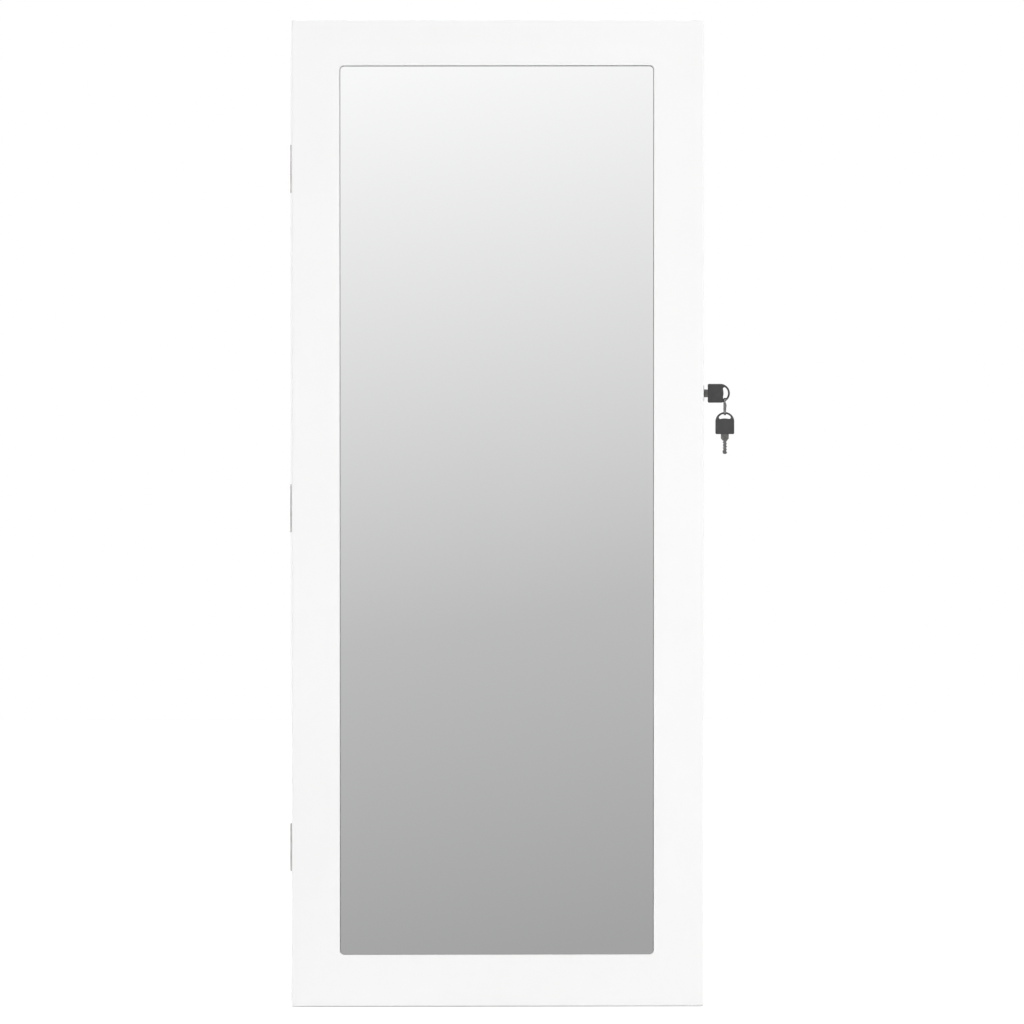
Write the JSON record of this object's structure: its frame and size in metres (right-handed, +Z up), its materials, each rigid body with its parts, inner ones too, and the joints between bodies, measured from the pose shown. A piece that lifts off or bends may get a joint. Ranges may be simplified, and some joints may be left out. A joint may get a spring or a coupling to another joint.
{
  "type": "jewelry mirror cabinet",
  "caption": "Shallow wall-hung white case with a framed mirror door on side hinges, a key lock in the side, and velvet-lined hooks, ring rolls, slats and shelves inside.",
  "frame": {"origin": "middle of the back panel's rear face, the face that lies on the wall", "axes": "+X to the right seen from the front, +Y into the wall behind, +Z up; the mirror faces -Y"},
  "size_m": [0.4062, 0.1, 0.9],
  "materials": {
    "white_lacquer": "medium-density fibreboard, sprayed satin white",
    "back_board": "thin fibreboard, white",
    "velvet": "thin board wrapped in dark grey velvet",
    "velvet_roll": "foam roll in dark grey velvet",
    "beech": "beech dowel",
    "staple_steel": "galvanised",
    "peg_metal": "polished nickel",
    "nickel": "nickel plated",
    "hinge_steel": "satin nickel",
    "screw_steel": "zinc plated",
    "catch_plastic": "white moulded plastic",
    "ferrite": "sintered, matt",
    "plate_steel": "zinc plated",
    "silvered_glass": "polished, silvered at the back",
    "foam_tape": "foam tape with adhesive",
    "bumper_rubber": "clear soft rubber",
    "key_steel": "nickel plated brass look, worn",
    "ring_steel": "bright wire",
    "key_plastic": "moulded, fine grain"
  },
  "bodies": {
    "cabinet": {"left_side_panel": "white_lacquer", "right_side_panel": "white_lacquer", "top_panel": "white_lacquer", "bottom_panel": "white_lacquer", "back_panel": "back_board", "back_lining": "velvet", "case_dowels": "beech", "back_staples": "staple_steel", "necklace_rail": "velvet", "necklace_pegs": "peg_metal", "upper_shelf": "white_lacquer", "middle_shelf": "white_lacquer", "lower_shelf": "white_lacquer", "retaining_rods": "peg_metal", "ring_tray_frame": "white_lacquer", "ring_tray_floor": "velvet", "ring_cushions": "velvet_roll", "earring_rack_frame": "white_lacquer", "earring_slats": "velvet", "upper_hinge_case_leaf": "hinge_steel", "middle_hinge_case_leaf": "hinge_steel", "lower_hinge_case_leaf": "hinge_steel", "upper_hinge_pin": "hinge_steel", "middle_hinge_pin": "hinge_steel", "lower_hinge_pin": "hinge_steel", "case_leaf_screws": "screw_steel", "catch_housing": "catch_plastic", "catch_magnet": "ferrite", "catch_poles": "plate_steel", "catch_screws": "screw_steel", "lock_body": "nickel", "lock_nut": "nickel"},
    "door": {"door_panel": "white_lacquer", "mirror_glass": "silvered_glass", "mirror_tapes": "foam_tape", "door_lining": "velvet", "door_necklace_rail": "velvet", "door_pegs": "peg_metal", "gutter_front": "white_lacquer", "gutter_floor": "white_lacquer", "gutter_ends": "white_lacquer", "door_bumpers": "bumper_rubber", "catch_plate": "plate_steel", "lock_strike": "nickel", "door_plate_screws": "screw_steel", "upper_hinge_door_leaf": "hinge_steel", "middle_hinge_door_leaf": "hinge_steel", "lower_hinge_door_leaf": "hinge_steel", "door_leaf_screws": "screw_steel"},
    "lock_plug": {"lock_plug": "nickel", "lock_cam": "nickel", "cam_screw": "nickel"},
    "upper_key": {"upper_key_blade": "key_steel", "upper_key_bow": "key_plastic"},
    "key_ring": {"key_ring": "ring_steel"},
    "lower_key": {"lower_key_blade": "key_steel", "lower_key_bow": "key_plastic"}
  },
  "joints": [
    {"name": "door_hinge", "type": "hinge", "parent": "cabinet", "child": "door", "pos_m": [-0.1878, -0.081, 0.004], "axis": [0, 0, -1], "range_deg": [0, 170]},
    {"name": "lock_turn", "type": "hinge", "parent": "cabinet", "child": "lock_plug", "pos_m": [0.175, -0.062, 0.1075], "axis": [-1, 0, 0], "range_deg": [0, 90]},
    {"name": "key_pull", "type": "slide", "parent": "lock_plug", "child": "upper_key", "axis": [1, 0, 0], "range_m": [0, 0.025]},
    {"name": "ring_swing", "type": "hinge", "parent": "upper_key", "child": "key_ring", "pos_m": [0.208, -0.062, 0.1014], "axis": [1, 0, 0], "range_deg": [-90, 90]},
    {"name": "lower_key_swing", "type": "hinge", "parent": "key_ring", "child": "lower_key", "pos_m": [0.208, -0.062, 0.08801], "axis": [0, 1, 0], "range_deg": [-20, 20]}
  ]
}
